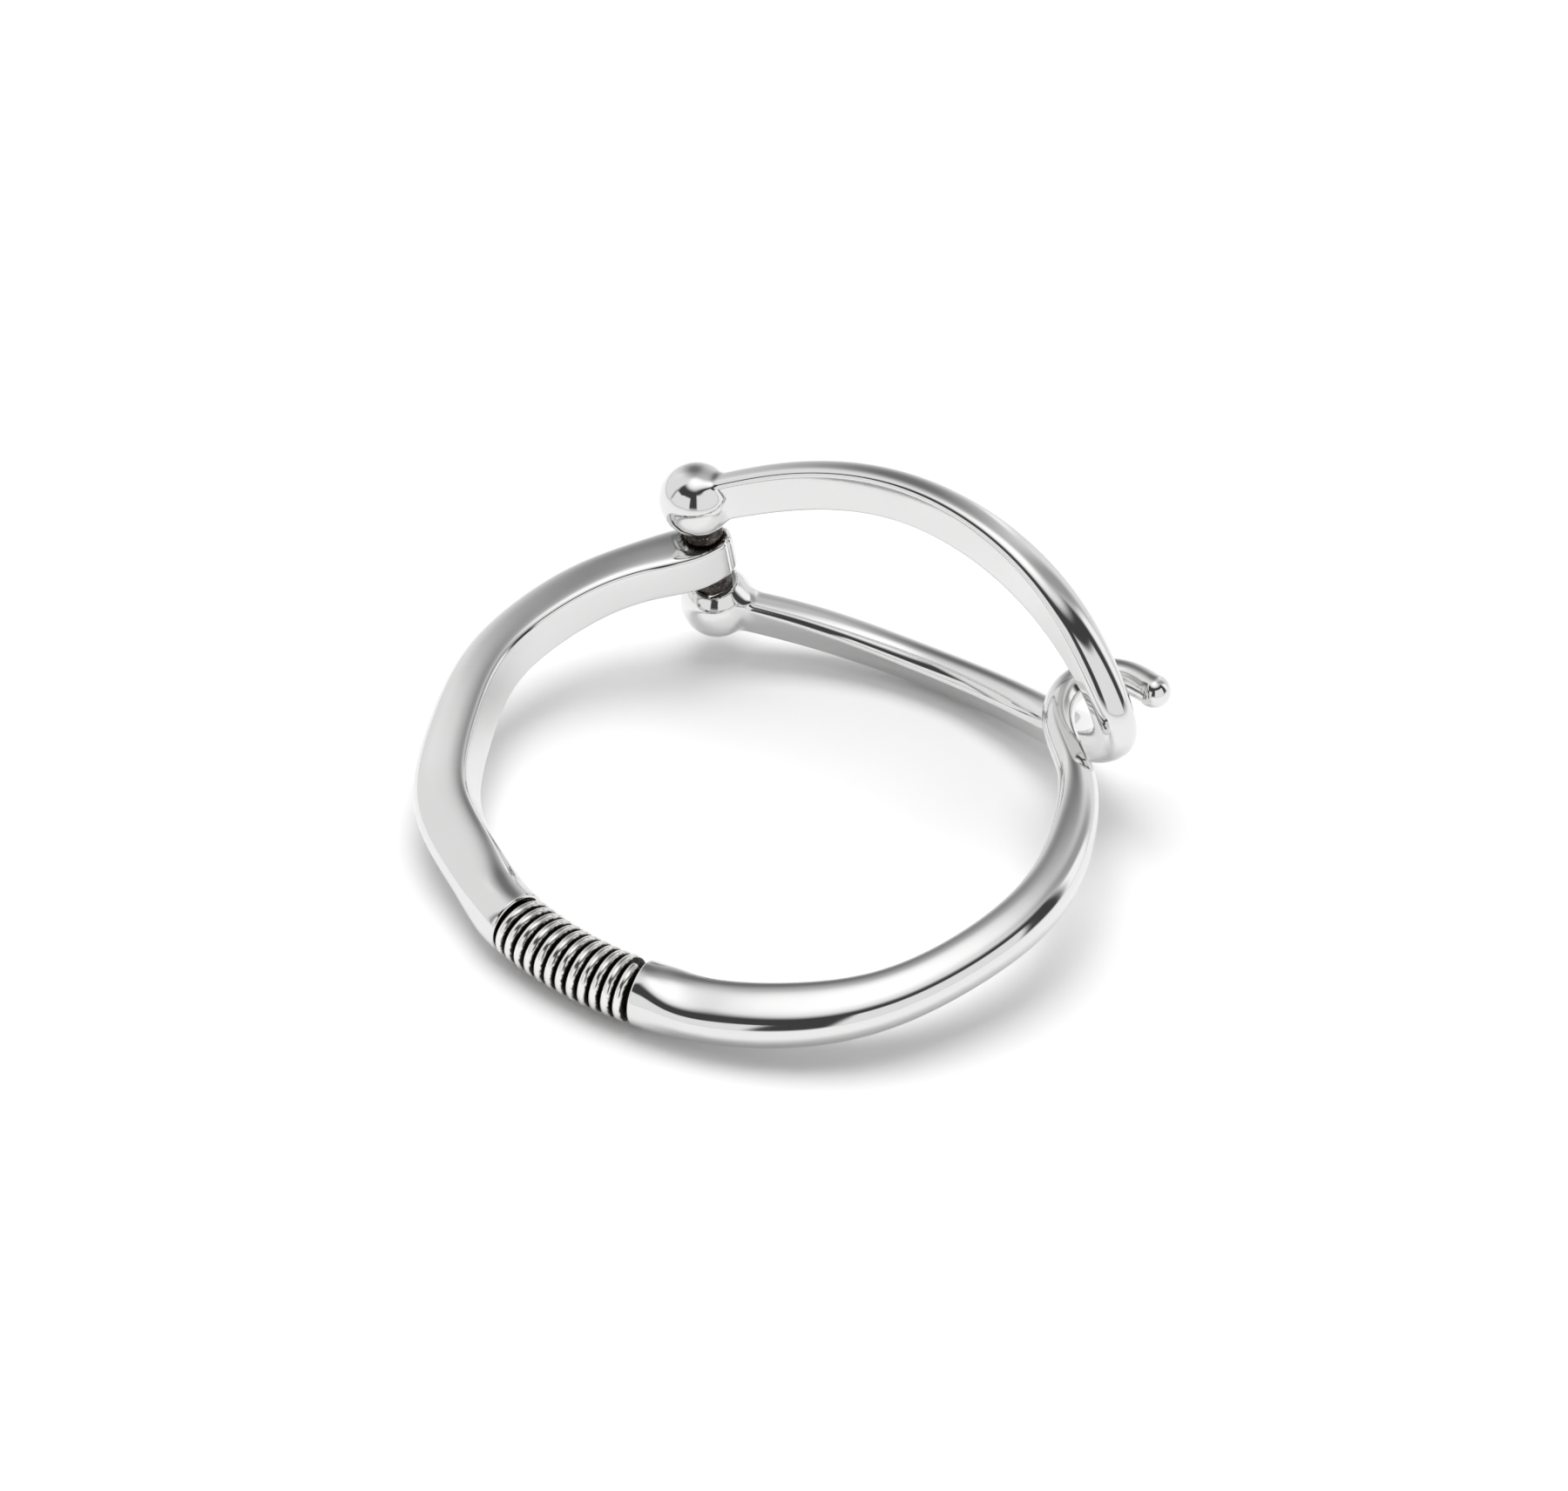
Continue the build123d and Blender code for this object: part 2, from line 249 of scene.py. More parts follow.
def hoop_point(x_share, y_share):
    """A point of the hoop's centreline."""
    return Vector((x_share * HALF_WIDTH, y_share * HALF_DEPTH, 0))


def wrap_frame(along):
    """Point and direction on the wrap's bent axis; along = 0 in its middle."""
    angle = WRAP_LEAN + along / WRAP_BEND
    x = WRAP_X + WRAP_BEND * (sin(angle) - sin(WRAP_LEAN))
    y = -HALF_DEPTH + WRAP_BEND * (cos(WRAP_LEAN) - cos(angle))
    return Vector((x, y, 0)), Vector((cos(angle), sin(angle), 0))


def hook_point(angle, radius_share):
    """A point of the hook's centreline round the loop's eye end."""
    radius = radius_share * HOOK_THROAT
    return EYE_END + radius * Vector((cos(radians(angle)), sin(radians(angle)), 0))


def bar_outline(thickness, height, corner, crown=None, square=2.0, inset=0.0, roll=0.0):
    """Points of a bar's section, inside at -x: a flat, two corners and the dome at +x."""
    crown = corner if crown is None else crown
    back = -thickness / 2 - inset
    flat = height / 2 - corner
    depth = thickness - crown
    power = 2 / square
    outline = [(back, flat * (2 * i / FLAT_STEPS - 1)) for i in range(FLAT_STEPS)]
    for i in range(CORNER_STEPS):
        turn = pi / 2 * i / CORNER_STEPS
        outline.append((back + crown - crown * cos(turn) ** power, flat + corner * sin(turn) ** power))
    for i in range(DOME_STEPS):
        turn = pi / 2 - pi * i / DOME_STEPS
        rise = abs(sin(turn)) ** power * (1 if turn > 0 else -1)
        outline.append((back + crown + depth * max(cos(turn), 0.0) ** power, height / 2 * rise))
    for i in range(CORNER_STEPS):
        turn = pi / 2 * i / CORNER_STEPS
        outline.append((back + crown - crown * sin(turn) ** power, -flat - corner * cos(turn) ** power))
    lean = radians(roll)
    return [(x * cos(lean) + y * sin(lean), y * cos(lean) - x * sin(lean)) for x, y in outline]


def section_frame(point, along, outward):
    """Matrix of a section: x points outward, y across the bar, z along it."""
    level = (outward - along * outward.dot(along)).normalized()
    m = Matrix((level, along.cross(level), along)).transposed().to_4x4()
    m.translation = point
    return m


def place_ring(ring, matrix, outline):
    for vert, (x, y) in zip(ring, outline):
        vert.co = matrix @ Vector((x, y, 0))


def swept_bar(bm, sections):
    """Closed bar through (matrix, outline) sections: a ring is extruded from each to the next."""
    count = len(sections[0][1])
    made = bmesh.ops.create_circle(bm, cap_ends=True, segments=count, radius=1)
    ring = made["verts"]
    place_ring(ring, *sections[0])
    for matrix, outline in sections[1:]:
        edges = [bm.edges.get((a, b)) for a, b in zip(ring, ring[1:] + ring[:1])]
        extruded = bmesh.ops.extrude_edge_only(bm, edges=edges)
        fresh = [g for g in extruded["geom"] if isinstance(g, bmesh.types.BMVert)]
        joined = {}
        for vert in fresh:
            for edge in vert.link_edges:
                joined[edge.other_vert(vert)] = vert
        ring = [joined[v] for v in ring]
        place_ring(ring, matrix, outline)
    edges = [bm.edges.get((a, b)) for a, b in zip(ring, ring[1:] + ring[:1])]
    bmesh.ops.edgeloop_fill(bm, edges=edges)


def finish_piece(bm, name, body, material, replaces=(), smooth=True):
    """Lays a bmesh into the frame as a piece that rides on a CAD body."""
    bmesh.ops.transform(bm, matrix=LAY_DOWN, verts=bm.verts)
    bmesh.ops.recalc_face_normals(bm, faces=bm.faces)
    for face in bm.faces:
        face.smooth = smooth
    mesh = bpy.data.meshes.new(name)
    bm.to_mesh(mesh)
    bm.free()
    piece = bpy.data.objects.new(name, mesh)
    bpy.context.scene.collection.objects.link(piece)
    mesh.materials.append(material)
    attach(piece, body)
    if replaces:
        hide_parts(*replaces)
    return piece


def outward_left(along):
    return Vector((-along.y, along.x, 0))


def outward_right(along):
    return Vector((along.y, -along.x, 0))


def rounded_end(path, share, outward, size, radius, direction):
    """Sections that round a bar's end off: from its full size down to a small flat."""
    sections = []
    along = path.along(share)
    point = path.point(share)
    thickness, height = size[:2]
    for i in range(END_STEPS + 1):
        turn = pi / 2 * i / END_STEPS
        inward = radius * (1 - cos(turn))
        reach = radius * sin(turn)
        matrix = section_frame(point + along * direction * (reach - radius), along, outward(along))
        narrow, low = 1 - 2 * inward / thickness, 1 - 2 * inward / height
        sections.append((matrix, [(x * narrow, y * low) for x, y in bar_outline(*size)]))
    return sections


def bar_run(path, sizes, outward, first, last, count):
    """Sections along a path between two shares of it."""
    sections = []
    for i in range(count + 1):
        share = first + (last - first) * i / count
        along = path.along(share)
        matrix = section_frame(path.point(share), along, outward(along))
        sections.append((matrix, bar_outline(*sizes(share))))
    return sections


# ---- materials -------------------------------------------------------------------------
def new_material(name):
    material = bpy.data.materials.new(name)
    material.use_nodes = True
    tree = material.node_tree
    tree.nodes.clear()
    output = tree.nodes.new("ShaderNodeOutputMaterial")
    shader = tree.nodes.new("ShaderNodeBsdfPrincipled")
    tree.links.new(shader.outputs["BSDF"], output.inputs["Surface"])
    return material, tree, shader


def noise_node(tree, coordinates, scale, detail=2.0, roughness=0.5):
    node = tree.nodes.new("ShaderNodeTexNoise")
    node.inputs["Scale"].default_value = scale
    node.inputs["Detail"].default_value = detail
    node.inputs["Roughness"].default_value = roughness
    tree.links.new(coordinates, node.inputs["Vector"])
    return node.outputs["Fac"]


def ranged(tree, value, low, high, from_low=0.3, from_high=0.7):
    node = tree.nodes.new("ShaderNodeMapRange")
    node.inputs["From Min"].default_value = from_low
    node.inputs["From Max"].default_value = from_high
    node.inputs["To Min"].default_value = low
    node.inputs["To Max"].default_value = high
    tree.links.new(value, node.inputs["Value"])
    return node.outputs["Result"]


def mixed(tree, factor, first, second):
    node = tree.nodes.new("ShaderNodeMix")
    node.data_type = "RGBA"
    for socket, colour in (("A", first), ("B", second)):
        entry = [s for s in node.inputs if s.name == socket and s.type == "RGBA"][0]
        if isinstance(colour, bpy.types.NodeSocket):
            tree.links.new(colour, entry)
        else:
            entry.default_value = (*colour, 1)
    tree.links.new(factor, node.inputs["Factor"])
    return [s for s in node.outputs if s.type == "RGBA"][0]


def bumped(tree, height, strength, distance, before=None):
    node = tree.nodes.new("ShaderNodeBump")
    node.inputs["Strength"].default_value = strength
    node.inputs["Distance"].default_value = distance
    tree.links.new(height, node.inputs["Height"])
    if before is not None:
        tree.links.new(before, node.inputs["Normal"])
    return node.outputs["Normal"]


def object_coordinates(tree):
    return tree.nodes.new("ShaderNodeTexCoord").outputs["Object"]


def silver_material(name, colour, roughness, ripple=0.05, tarnish_and_shade=None):
    """Hand-polished silver: faint hammer ripples, hairline wear and, where asked, darkening towards a
    second colour by a point attribute, used for painted shade round the hinge collars and for the wire's
    dark sides.
    """
    material, tree, shader = new_material(name)
    place = object_coordinates(tree)
    shader.inputs["Metallic"].default_value = 1.0
    cloud = noise_node(tree, place, 180.0, 3.0)
    base = mixed(tree, ranged(tree, cloud, 0.0, 1.0), [c * 0.985 for c in colour], colour)
    # darkened where the point attribute says so: painted shade round the hinge collars, and the wire's
    # sides away from its crest
    if tarnish_and_shade is not None:
        attribute = tree.nodes.new("ShaderNodeAttribute")
        attribute.attribute_name = "tarnish_and_shade"
        grain = noise_node(tree, place, 2600.0, 3.0, 0.6)
        spread = tree.nodes.new("ShaderNodeMath")
        spread.operation = "MULTIPLY_ADD"
        tree.links.new(ranged(tree, grain, -0.05, 0.05), spread.inputs[0])
        spread.inputs[1].default_value = 1.0
        tree.links.new(attribute.outputs["Fac"], spread.inputs[2])
        shade = ranged(tree, spread.outputs[0], 0.0, 1.0, 0.09, 0.19)
        base = mixed(tree, shade, base, tarnish_and_shade)
        rough = ranged(tree, shade, roughness, 0.45, 0.0, 1.0)
    else:
        rough = ranged(tree, noise_node(tree, place, 420.0, 4.0, 0.6), roughness * 0.8, roughness * 1.6)
    tree.links.new(base, shader.inputs["Base Color"])
    tree.links.new(rough, shader.inputs["Roughness"])
    normal = bumped(tree, noise_node(tree, place, 320.0, 1.0, 0.3), ripple, 0.0002)
    normal = bumped(tree, noise_node(tree, place, 5200.0, 2.0, 0.6), ripple * 0.4, 0.00002, normal)
    tree.links.new(normal, shader.inputs["Normal"])
    return material


def set_attribute(piece, name, values):
    layer = piece.data.attributes.new(name, "FLOAT", "POINT")
    layer.data.foreach_set("value", values)


# ---- settings --------------------------------------------------------------------------
class BangleSettings(bpy.types.PropertyGroup):
    """Colours and finishes that a user would change"""

    silver: FloatVectorProperty(
        name="Silver",
        description="Colour of the polished silver",
        subtype="COLOR",
        size=3,
        min=0,
        max=1,
        default=(0.78, 0.78, 0.777),
    )
    silver_roughness: FloatProperty(
        name="Polish",
        description="Roughness of the polished silver, 0 is a mirror",
        subtype="FACTOR",
        min=0,
        max=1,
        default=0.06,
    )
    # used for the blackened collars, for the painted shade round the collars on the tongue and for the
    # wire's dark sides
    tarnish_and_shade: FloatVectorProperty(
        name="Tarnish and shade",
        description="Colour of the blackened collars, of the painted shade round the collars and of the wire's dark sides",
        subtype="COLOR",
        size=3,
        min=0,
        max=1,
        default=(0.030, 0.024, 0.020),
    )
    wire_waviness: FloatProperty(
        name="Wire waviness",
        description="How far the wire's edge wanders, in millimetres",
        min=0,
        max=0.3,
        default=0.10,
    )
    floor: FloatVectorProperty(
        name="Floor",
        description="Colour of the plain floor",
        subtype="COLOR",
        size=3,
        min=0,
        max=1,
        default=(0.92, 0.92, 0.92),
    )


def settings():
    return bpy.context.scene.bangle


def polished():
    known = bpy.data.materials.get("polished silver")
    if known:
        return known
    s = settings()
    return silver_material("polished silver", s.silver, s.silver_roughness)


# ---- pieces ----------------------------------------------------------------------------
class BuildTongueHalf(bpy.types.Operator):
    """Builds the hoop half that ends in the hinge's tongue"""

    bl_idname = "bangle.tongue_half"
    bl_label = "Tongue half"

    def execute(self, context):
        left_end, left_along = wrap_frame(-WRAP_LENGTH / 2 - WRAP_END_GAP)
        nose = Vector((0.66, 0.75, 0)).normalized()
        path = Path(
            [
                left_end,
                hoop_point(-0.530, -0.858),
                hoop_point(-0.780, -0.678),
                hoop_point(-0.930, -0.375),
                hoop_point(-1.000, -0.050),
                hoop_point(-0.972, 0.170),
                hoop_point(-0.872, 0.430),
                HINGE,
                HINGE + nose * NOSE_LENGTH,
            ],
            -left_along,
            nose,
        )
        round_corner = ROUND_SHARE * END_DIAMETER
        hinge_share = 1 - NOSE_LENGTH / path.length
        rows = [  # share of the path, thickness, height, corner, crown, squareness, inset, roll
            (0.0, END_DIAMETER, END_DIAMETER, round_corner, round_corner, 2.0, 0.0, 0),
            (0.015, END_DIAMETER, END_DIAMETER, round_corner, round_corner, 2.0, 0.0, 0),
            (0.07, 5.91, 5.30, 2.0, 2.7, 2.2, 0.1, 7),
            (0.14, 5.81, 5.00, 1.1, 2.6, SQUARED, 0.3, 11),
            (0.24, 5.81, BAR_HEIGHT, 0.8, 2.6, SQUARED, 0.4, 12),
            (0.36, 5.71, BAR_HEIGHT, BAR_CORNER, 2.5, SQUARED, 0.4, 12),
            (0.48, 5.42, BAR_HEIGHT, BAR_CORNER, 2.4, SQUARED, 0.3, 11),
            (0.62, 5.22, BAR_HEIGHT, BAR_CORNER, 2.2, SQUARED, 0.2, 7),
            (0.74, 5.27, BAR_HEIGHT, BAR_CORNER, 2.0, SQUARED, 0.0, 4),
            (0.86, TONGUE_THICKNESS, BAR_HEIGHT, BAR_CORNER, 1.8, SQUARED, 0.0, 0),
            (hinge_share, TONGUE_THICKNESS, BAR_HEIGHT, BAR_CORNER, 1.4, 2.3, 0.0, 0),
            (1.0, 0.62 * TONGUE_THICKNESS, 0.92 * BAR_HEIGHT, BAR_CORNER, 0.8, 2.2, 0.0, 0),
        ]
        sizes = Smooth([r[0] for r in rows], [r[1:] for r in rows])
        start = rounded_end(path, 0.0, outward_left, sizes(0.0), END_ROUNDING, -1)
        end = rounded_end(path, 1.0, outward_left, sizes(1.0), NOSE_ROUNDING, 1)
        last = 1 - 1.2 * NOSE_ROUNDING / path.length
        run = bar_run(path, sizes, outward_left, 0.012, last, TONGUE_HALF_STEPS)
        bm = bmesh.new()
        swept_bar(bm, start[::-1] + run + end)
        for vert in bm.verts:  # spot faces for the collars
            away = (vert.co.xy - HINGE.xy).length
            if away < SPOT_FACE_RADIUS and abs(vert.co.z) > SEAT_HALF:
                vert.co.z = SEAT_HALF if vert.co.z > 0 else -SEAT_HALF
        # painted shade: darkening of the tongue's seats round the collars, standing in for the ball's
        # contact shadow and dark reflection
        hinge_shade = []
        for vert in bm.verts:
            away = (vert.co.xy - HINGE.xy).length
            near = max(0.0, min(1.0, (HINGE_SHADE_RADIUS - away) / HINGE_SHADE_FADE))
            hinge_shade.append(HINGE_SHADE_STRENGTH * near if abs(vert.co.z) > SEAT_HALF - HINGE_SHADE_DEPTH else 0.0)
        s = settings()
        name = "polished silver, painted shade at the hinge"
        material = silver_material(name, s.silver, s.silver_roughness, tarnish_and_shade=s.tarnish_and_shade)
        piece = finish_piece(bm, "tongue_half_bar", "hoop", material, ("tongue_half",))
        set_attribute(piece, "tarnish_and_shade", hinge_shade)
        return {"FINISHED"}


class BuildHookHalf(bpy.types.Operator):
    """Builds the hoop half that ends in the hook"""

    bl_idname = "bangle.hook_half"
    bl_label = "Hook half"

    def execute(self, context):
        right_end, right_along = wrap_frame(WRAP_LENGTH / 2 + WRAP_END_GAP)
        path = Path(
            [
                right_end,
                hoop_point(0.330, -0.965),
                hoop_point(0.582, -0.850),
                hoop_point(0.796, -0.661),
                hoop_point(0.948, -0.366),
                hoop_point(1.000, -0.018),
                hoop_point(0.958, 0.207),
                hook_point(262, 1.00),
                hook_point(226, 0.84),
                hook_point(183, 1.00),
                hook_point(160, 1.12),
                hook_point(137, 1.14),
                hook_point(112, 1.06),
                hook_point(81, 0.95),
            ],
            right_along,
            Vector((0.98, -0.2, 0)).normalized(),
        )
        round_corner = ROUND_SHARE * END_DIAMETER
        hook_corner = ROUND_SHARE * HOOK_DIAMETER
        rows = [  # share of the path, thickness, height, corner, crown, squareness, inset, roll
            (0.0, END_DIAMETER, END_DIAMETER, round_corner, round_corner, 2.0, 0.0, 0),
            (0.012, END_DIAMETER, END_DIAMETER, round_corner, round_corner, 2.0, 0.0, 0),
            (0.05, 5.72, 5.19, 2.0, 2.8, SQUARED, 0.1, -9),
            (0.11, 5.43, 4.80, 1.2, 2.7, SQUARED, 0.2, -14),
            (0.20, 5.33, 4.70, 1.0, 2.6, SQUARED, 0.3, -14),
            (0.29, 4.85, 4.61, 1.0, 2.3, SQUARED, 0.5, -14),
            (0.38, 4.46, 4.51, 0.9, 2.1, SQUARED, 0.6, -14),
            (0.48, 4.37, 4.61, 0.9, 2.0, SQUARED, 0.4, -12),
            (0.57, 4.27, 4.61, 1.0, 1.9, SQUARED, 0.1, -9),
            (0.65, 3.98, 4.31, 1.1, 1.8, SQUARED, 0.0, -5),
            (0.72, 3.55, 3.8, 1.3, 1.6, 2.1, 0.0, 0),
            (0.78, HOOK_DIAMETER, HOOK_DIAMETER, hook_corner, hook_corner, 2.0, 0.0, 0),
            (0.87, HOOK_DIAMETER, HOOK_DIAMETER, hook_corner, hook_corner, 2.0, 0.0, 0),
            (1.0, HOOK_DIAMETER, HOOK_DIAMETER, hook_corner, hook_corner, 2.0, 0.0, 0),
        ]
        sizes = Smooth([r[0] for r in rows], [r[1:] for r in rows])
        start = rounded_end(path, 0.0, outward_right, sizes(0.0), END_ROUNDING, -1)
        tip = []
        along = path.along(1.0)
        for i in range(TIP_STEPS + 1):
            turn = -0.25 + (pi / 2 + 0.21) * i / TIP_STEPS
            centre = path.point(1.0) + along * HOOK_TIP_RADIUS * sin(turn)
            matrix = section_frame(centre, along, outward_right(along))
            size = 2 * HOOK_TIP_RADIUS * cos(turn)
            tip.append((matrix, bar_outline(size, size, ROUND_SHARE * size)))
        run = bar_run(path, sizes, outward_right, 0.010, 1 - 0.9 / path.length, HOOK_HALF_STEPS)
        bm = bmesh.new()
        swept_bar(bm, start[::-1] + run + tip)
        finish_piece(bm, "hook_half_bar", "hoop", polished(), ("hook_half",))
        return {"FINISHED"}


class BuildWireWrap(bpy.types.Operator):
    """Builds the wire wound round the front of the hoop"""

    bl_idname = "bangle.wire_wrap"
    bl_label = "Wire wrap"

    def execute(self, context):
        s = settings()
        room = WRAP_LENGTH / 2 + WRAP_END_GAP - WIRE_DIAMETER / 2 - COIL_END_GAP
        sections = []
        for n in range(int(COIL_TURNS * STEPS_PER_TURN) + 1):
            turn = COIL_FIRST_TURN + n / STEPS_PER_TURN
            axial = -room + COIL_START + COIL_PITCH * turn
            if axial > 0:
                axial = -smooth_max(-axial, -room, COIL_EASING)
            else:
                axial = smooth_max(axial, -room, COIL_EASING)
            centre, along = wrap_frame(axial)
            radial = outward_right(along) * cos(tau * turn) + Vector((0, 0, 1)) * sin(tau * turn)
            matrix = Matrix((radial, along, radial.cross(along))).transposed().to_4x4()
            matrix.translation = centre + radial * WRAP_RADIUS
            wander = noise.noise(Vector((turn * 9.0, 0.7, 3.1)))
            wander += 0.6 * noise.noise(Vector((turn * 23.0, 0.2, 9.7)))
            outline = []
            for i in range(WIRE_POINTS):
                a = tau * i / WIRE_POINTS
                x, y = cos(a) * WIRE_DIAMETER / 2, sin(a) * WIRE_DIAMETER / 2
                y += s.wire_waviness * wander * max(0.0, sin(a))
                x *= 1.0 + 0.05 * noise.noise(Vector((turn * 14.0, 5.5, a)))
                outline.append((x, y))
            sections.append((matrix, outline))
        bm = bmesh.new()
        swept_bar(bm, sections)
        bend_x = WRAP_X - WRAP_BEND * sin(WRAP_LEAN)
        bend_y = WRAP_BEND * cos(WRAP_LEAN) - HALF_DEPTH
        bend_centre = Vector((bend_x, bend_y, 0))
        depths = []  # 0 on the wire's crest and 1 where it lies on the rod
        for vert in bm.verts:
            flat = (vert.co - bend_centre).xy.length - WRAP_BEND
            radius = sqrt(flat * flat + vert.co.z * vert.co.z)
            depths.append(1.0 - (radius - WRAP_RADIUS + WIRE_DIAMETER / 2) / WIRE_DIAMETER)
        # the wire is darkened with the second colour from just below its crest, darker towards the rod
        material = silver_material("wound silver wire", (0.84, 0.835, 0.82), 0.16, 0.06, s.tarnish_and_shade)
        piece = finish_piece(bm, "wire_wrap_coil", "hoop", material, ("wire_wrap",))
        set_attribute(piece, "tarnish_and_shade", depths)
        return {"FINISHED"}


def loop_frame():
    """Centre, radius and half angle of the loop's bow, as seen along the hinge pin."""
    half = (EYE_END.x - HINGE.x) / 2
    radius = (half**2 + LOOP_RISE**2) / (2 * LOOP_RISE)
    middle = Vector(((HINGE.x + EYE_END.x) / 2, (HINGE.y + EYE_END.y) / 2 + LOOP_RISE, 0))
    return middle - Vector((0, radius, 0)), radius, asin(half / radius)


BOW_CENTRE, BOW_RADIUS, BOW_ANGLE = loop_frame()


def loop_point(share, height_share):
    """A point of an arm: share of the way from hinge to eye end, share of the half height."""
    angle = BOW_ANGLE * (2 * share - 1)
    level = BOW_CENTRE + BOW_RADIUS * Vector((sin(angle), cos(angle), 0))
    return level + Vector((0, 0, height_share * LOOP_HALF_HEIGHT))


def smooth_max(a, b, blend):
    """The larger of two values, rounded where they are nearly equal."""
    near = max(blend - abs(a - b), 0) / blend
    return max(a, b) + near * near * blend / 4


def knuckle(away):
    """Reach of a ball knuckle at a distance along the arm: a sphere that runs out in a neck."""
    neck = NECK_SHARE * BALL_RADIUS
    if away < neck:
        return sqrt(BALL_RADIUS**2 - away**2)
    reach = sqrt(BALL_RADIUS**2 - neck**2)
    return reach * exp((neck - away) * neck / reach**2)


class BuildLoop(bpy.types.Operator):
    """Builds the hinged loop: two bowed arms, the eye end and a ball knuckle on each arm"""

    bl_idname = "bangle.loop"
    bl_label = "Hinged loop"

    def execute(self, context):
        upper = [
            HINGE + Vector((0, 0, BALL_Z)),
            loop_point(0.19, 0.820),
            loop_point(0.43, 0.995),
            loop_point(0.60, 0.965),
            loop_point(0.78, 0.795),
            loop_point(0.92, 0.470),
        ]
        lower = [Vector((p.x, p.y, -p.z)) for p in reversed(upper)]
        path = Path(upper + [loop_point(1.0, 0.0)] + lower)
        half_rows = [  # share of the path, thickness, height, corner, crown, squareness
            (0.0, 0.95 * ARM_THICKNESS, 0.95 * ARM_HEIGHT, 0.6, 1.0, 2.2),
            (0.07, ARM_THICKNESS, ARM_HEIGHT, 0.7, 1.1, 2.3),
            (0.21, 1.03 * ARM_THICKNESS, ARM_HEIGHT, 0.8, 1.4, 2.3),
            (0.35, 1.15 * ARM_THICKNESS, ARM_HEIGHT, 1.0, 1.7, 2.3),
            (0.41, 1.18 * ARM_THICKNESS, 0.5 * (ARM_HEIGHT + EYE_HEIGHT), 1.1, 1.8, 2.2),
            (0.46, 1.06 * EYE_THICKNESS, EYE_HEIGHT, 1.3, 1.8, 2.2),
        ]
        rows = half_rows + [(0.5, 1.04 * EYE_THICKNESS, EYE_HEIGHT, 1.4, 1.8, 2.2)]
        rows += [(1 - r[0], *r[1:]) for r in reversed(half_rows)]
        sizes = Smooth([r[0] for r in rows], [r[1:] for r in rows])
        tilt = tan(radians(ARM_ROLL)) / LOOP_HALF_HEIGHT

        def outward(point):
            level = Vector((point.x - BOW_CENTRE.x, point.y - BOW_CENTRE.y, 0)).normalized()
            return level - Vector((0, 0, tilt * point.z))

        ball_reach = BALL_RADIUS * 0.999
        neck_end = 0.075
        arm_share = 1 - 2 * neck_end
        stations = []  # (share, distance beyond the nearer ball's centre)
        stations += [(0.0, -ball_reach * cos(pi / 2 * i / BALL_STEPS)) for i in range(BALL_STEPS + 1)]
        stations += [(neck_end * i / NECK_STEPS, None) for i in range(1, NECK_STEPS + 1)]
        stations += [(neck_end + arm_share * i / ARM_STEPS, None) for i in range(1, ARM_STEPS)]
        stations += [(1 - neck_end + neck_end * i / NECK_STEPS, None) for i in range(NECK_STEPS)]
        stations += [(1.0, ball_reach * sin(pi / 2 * i / BALL_STEPS)) for i in range(BALL_STEPS + 1)]

        sections = []
        for share, past in stations:
            along = path.along(share)
            point = path.point(share)
            face = outward(point)
            if past is not None:
                point = point + along * past
                away = abs(past)
            else:
                away = path.length * min(share, 1 - share)
            ball = knuckle(away) if past is None else sqrt(max(BALL_RADIUS**2 - away**2, 0.0))
            arm = bar_outline(*sizes(share))
            if past is not None and abs(past) > 1e-6:
                outline = [tuple(ball * Vector(p).normalized()) for p in arm]
            else:
                outline = []
                for p in arm:
                    reach = Vector(p).length
                    outline.append(tuple(Vector(p) / reach * smooth_max(reach, ball, NECK_FILLET)))
            sections.append((section_frame(point, along, face), outline))
        bm = bmesh.new()
        swept_bar(bm, sections)
        for side in (1, -1):  # the flat on each ball where a collar seats
            rim = HINGE + Vector((0, 0, side * RIM_Z))
            ball_centre = HINGE + Vector((0, 0, side * BALL_Z))
            near_ball = [f for f in bm.faces if (f.calc_center_median() - ball_centre).length < CUT_RADIUS]
            verts = list({v for f in near_ball for v in f.verts})
            edges = list({e for f in near_ball for e in f.edges})
            bmesh.ops.bisect_plane(
                bm,
                geom=verts + edges + near_ball,
                dist=1e-5,
                plane_co=rim,
                plane_no=(0, 0, -side),
                clear_outer=True,
            )
            open_edges = [e for e in bm.edges if e.is_boundary]
            bmesh.ops.edgeloop_fill(bm, edges=open_edges)
            bmesh.ops.bevel(
                bm,
                geom=open_edges,
                offset=RIM_BEVEL,
                affect="EDGES",
                segments=3,
                profile=0.5,
                material=-1,
            )
        finish_piece(bm, "loop_casting", "loop", polished(), ("loop",))
        return {"FINISHED"}


